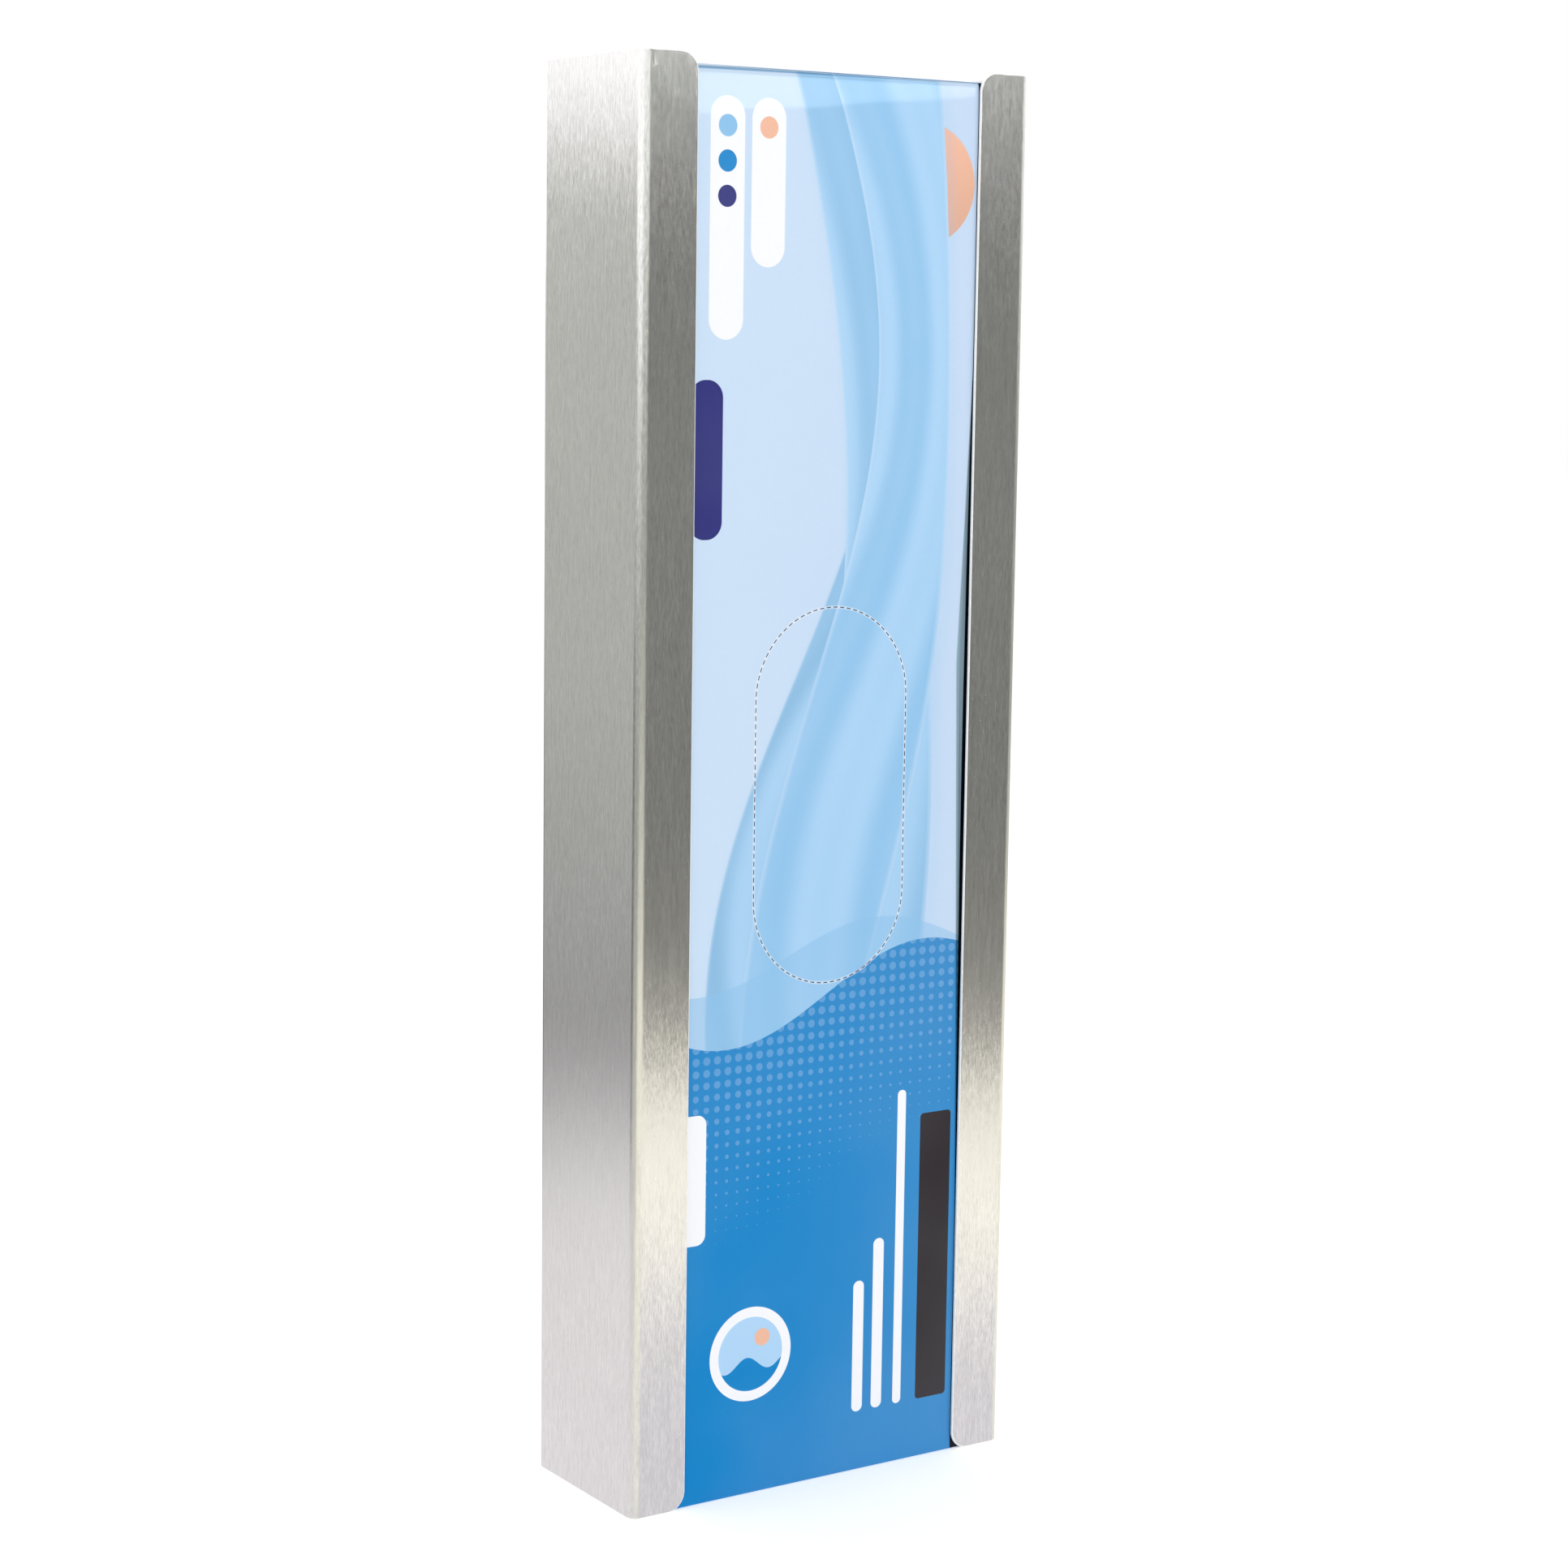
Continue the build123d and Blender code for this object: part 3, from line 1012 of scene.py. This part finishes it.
def level(degrees):
    """An elevation as a height: its sine plus a half."""
    return math.sin(math.radians(degrees)) + 0.5


def bands_of(nodes, height, stops):
    """A ramp over the height. It holds half of each brightness, as the values of a ramp end at 1."""
    halves = [(level(degrees), [value / 2 for value in shade]) for degrees, *shade in stops]
    return nodes.ramp(height, halves)


def studio_bands(nodes):
    """What the steel reflects: four sets of bands, a dark panel, a ceiling and a softbox."""
    way = nodes.add("ShaderNodeTexCoord").outputs["Generated"]
    height = nodes.plus(nodes.add("ShaderNodeSeparateXYZ", {0: way}).outputs["Z"], 0.5)
    across = nodes.vector("NORMALIZE", nodes.vector("MULTIPLY", way, (1, 1, 0)))
    facing = nodes.vector("DOT_PRODUCT", across, FRONT_WAY)

    panel = nodes.times(nodes.spread(height, *PANEL_TOP), nodes.spread(height, *PANEL_FOOT))
    panel = nodes.times(nodes.spread(facing, *PANEL_WAY), panel)
    bands = nodes.mix(nodes.times(panel, PANEL_SHADE), bands_of(nodes, height, LIGHT_BEHIND), 0.0)
    corner = nodes.times(nodes.spread(facing, *LEFT_HIGH_WAY), nodes.spread(height, *LEFT_HIGH))
    to_left = nodes.math("MAXIMUM", nodes.spread(facing, *TO_LEFT), corner)
    bands = nodes.mix(to_left, bands, bands_of(nodes, height, LIGHT_LEFT))
    bands = nodes.mix(nodes.spread(facing, *TO_CAMERA), bands, bands_of(nodes, height, LIGHT_CAMERA))
    bands = nodes.mix(nodes.spread(facing, *TO_FRONT), bands, bands_of(nodes, height, LIGHT_FRONT))
    bands = nodes.mix(1.0, bands, 2.0, "MULTIPLY")

    ceiling = nodes.spread(height, level(CEILING_FROM), level(CEILING_FULL))
    bands = nodes.mix(ceiling, bands, CEILING_LIGHT)
    rise = math.radians(SOFTBOX_ELEVATION)
    centre = (*[value * math.cos(rise) for value in SOFTBOX_WAY], math.sin(rise))
    toward = nodes.vector("DOT_PRODUCT", way, centre)
    rim, core = math.cos(math.radians(SOFTBOX_RIM)), math.cos(math.radians(SOFTBOX_CORE))
    softbox = nodes.spread(toward, rim, core, 0.0, SOFTBOX_LIGHT)
    return nodes.mix(1.0, bands, nodes.grey(softbox), "ADD")


def studio_world(settings):
    """White behind the object, even light on it, and a studio's bands of light for it to reflect."""
    world = bpy.data.worlds.new("studio")
    world.use_nodes = True
    world.node_tree.nodes.clear()
    nodes = Nodes(world.node_tree)
    bands = studio_bands(nodes)
    path = nodes.add("ShaderNodeLightPath").outputs
    plain = nodes.add("ShaderNodeBackground", {0: rgba(1.0), 1: 1.0})
    even = nodes.add("ShaderNodeBackground", {0: rgba(1.0), 1: settings.glow})
    studio = nodes.add("ShaderNodeBackground", {0: bands, 1: 1.0})
    lit = nodes.add("ShaderNodeMixShader", {0: path["Is Glossy Ray"], 1: even.outputs[0],
                                            2: studio.outputs[0]})
    seen = nodes.add("ShaderNodeMixShader", {0: path["Is Camera Ray"], 1: lit.outputs[0],
                                             2: plain.outputs[0]})
    nodes.add("ShaderNodeOutputWorld", {"Surface": seen.outputs[0]})
    world.cycles.sampling_method = "NONE"
    bpy.context.scene.world = world


def pale_floor(settings):
    """The floor's material: plain, with a faint unevenness."""
    material, nodes, shader, place = new_material("pale_floor")
    cloud = nodes.noise(place, 3.0, 2.0)
    darker = [value * 0.99 for value in settings.floor]
    nodes.fill(shader, {"Base Color": nodes.mix(nodes.vary(cloud), settings.floor, darker),
                        "Roughness": 0.9, "Specular IOR Level": 0.1, "Emission Color": rgba(1.0),
                        "Emission Strength": settings.floor_glow})
    return material


def make_stage(settings):
    bm = bmesh.new()
    bmesh.ops.create_grid(bm, x_segments=1, y_segments=1, size=settings.floor_size / 2,
                          matrix=Matrix.Translation((0, 0, CAD_BOX[0].z - 0.05 * MM)))
    floor = new_object("floor", bm, pale_floor(settings))
    floor.visible_glossy = False

    camera = bpy.data.objects.new("camera", bpy.data.cameras.new("camera"))
    camera.data.lens = settings.lens
    camera.data.sensor_width = 36.0
    camera.data.clip_start = 0.01
    turned = Matrix.Rotation(-settings.turn, 4, "Z") @ Matrix.Rotation(math.pi / 2 - settings.tilt, 4, "X")
    turned = turned @ Matrix.Rotation(settings.roll, 4, "Z")
    camera.matrix_world = Matrix.Translation(settings.camera) @ turned
    bpy.context.scene.collection.objects.link(camera)
    bpy.context.scene.camera = camera

    middle = (CAD_BOX[0] + CAD_BOX[1]) / 2
    area_light("key", settings.key, 1.2, (1.3, -1.5, 1.0), middle)
    area_light("fill", settings.fill, 1.4, (-1.8, -0.6, 0.9), middle)
    studio_world(settings)
    bpy.context.scene.view_settings.view_transform = "Standard"


# Operators and panel

class OBJECT_OT_glove_channel(bpy.types.Operator):
    """Builds the folded steel channel"""

    bl_idname = "object.glove_channel"
    bl_label = "Steel Channel"

    def execute(self, context):
        settings = context.scene.glove_channel
        streaks = streak_group()
        steel = brushed_steel(settings, streaks, speck_group())
        piece = make_channel(settings, steel, cut_edge_steel(settings, streaks))
        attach(piece, "root")
        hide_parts("steel_channel")
        return {"FINISHED"}


class OBJECT_OT_glove_carton(bpy.types.Operator):
    """Builds the sealed carton of gloves"""

    bl_idname = "object.glove_carton"
    bl_label = "Printed Carton"

    def execute(self, context):
        settings = context.scene.glove_carton
        streaks = streak_group()
        board = bare_board("bare_board", settings.edge, streaks)
        # The slits' board gets the dark slit colour: painted shade inside them
        shaded_slit_board = bare_board("shaded_slit_board", settings.slit_shade, streaks)
        surface = coated_board_group()
        front, end = printed_front(settings, surface), printed_end(settings, surface)
        piece = make_carton(settings, front, end, board, shaded_slit_board)
        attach(piece, "root")
        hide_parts("glove_carton")
        return {"FINISHED"}


class OBJECT_OT_glove_stage(bpy.types.Operator):
    """Sets up the floor, the lights and the camera"""

    bl_idname = "object.glove_stage"
    bl_label = "Floor, Lights and Camera"

    def execute(self, context):
        make_stage(context.scene.glove_stage)
        return {"FINISHED"}


class VIEW3D_PT_glove_dispenser(bpy.types.Panel):
    """Lists the dispenser's pieces and their settings"""

    bl_label = "Glove Dispenser"
    bl_space_type = "VIEW_3D"
    bl_region_type = "UI"
    bl_category = "Dispenser"

    def draw(self, context):
        for operator, name, kind in PIECES:
            box = self.layout.box()
            box.operator(operator.bl_idname)
            for key in kind.__annotations__:
                box.prop(getattr(context.scene, name), key)


PIECES = (
    (OBJECT_OT_glove_stage, "glove_stage", StageSettings),
    (OBJECT_OT_glove_channel, "glove_channel", ChannelSettings),
    (OBJECT_OT_glove_carton, "glove_carton", CartonSettings),
)


def register():
    for operator, name, kind in PIECES:
        bpy.utils.register_class(kind)
        bpy.utils.register_class(operator)
        setattr(bpy.types.Scene, name, PointerProperty(type=kind))
    bpy.utils.register_class(VIEW3D_PT_glove_dispenser)


def unregister():
    bpy.utils.unregister_class(VIEW3D_PT_glove_dispenser)
    for operator, name, kind in reversed(PIECES):
        delattr(bpy.types.Scene, name)
        bpy.utils.unregister_class(operator)
        bpy.utils.unregister_class(kind)


def main():
    register()
    bpy.ops.object.glove_stage()
    bpy.ops.object.glove_channel()
    bpy.ops.object.glove_carton()


if __name__ == "__main__":
    main()
